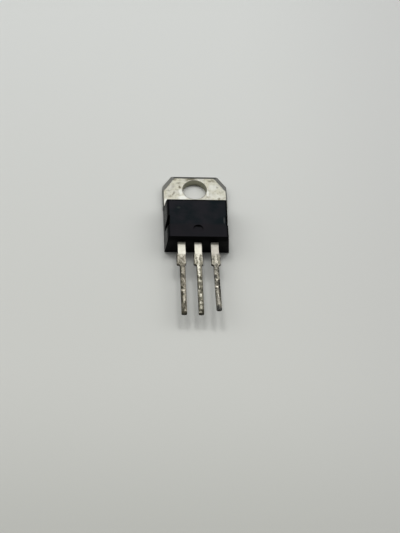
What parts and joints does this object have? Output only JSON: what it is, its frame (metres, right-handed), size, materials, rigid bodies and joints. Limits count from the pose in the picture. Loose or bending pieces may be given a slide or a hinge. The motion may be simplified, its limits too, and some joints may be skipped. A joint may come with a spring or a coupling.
{
  "type": "voltage regulator",
  "caption": "Tab-mounted linear voltage regulator: plated metal tab with a screw hole, black moulded case, and flat tinned leads, one bent slightly upwards.",
  "frame": {"origin": "centre of the mounting hole, on the back face of the tab", "axes": "+Z out of the moulded front along the hole's axis, +Y towards the tab's free edge so that the leads run along -Y, +X to the right seen from the front with the leads down"},
  "size_m": [0.0102, 0.0276, 0.0044],
  "materials": {
    "plated_tab": "matte plating over copper, stained",
    "tinned_lead": "tinned copper with old solder and oxide",
    "epoxy": "matte black moulding compound",
    "silicon": "polished silicon",
    "solder": "dull solder",
    "bond_wire": "drawn wire"
  },
  "bodies": {
    "root": {"header_tab": "plated_tab", "input_lead": "tinned_lead", "output_lead": "tinned_lead", "moulded_case": "epoxy", "silicon_die": "silicon", "die_solder": "solder", "input_wire": "bond_wire", "output_wire": "bond_wire", "ground_wire": "bond_wire"}
  },
  "joints": []
}
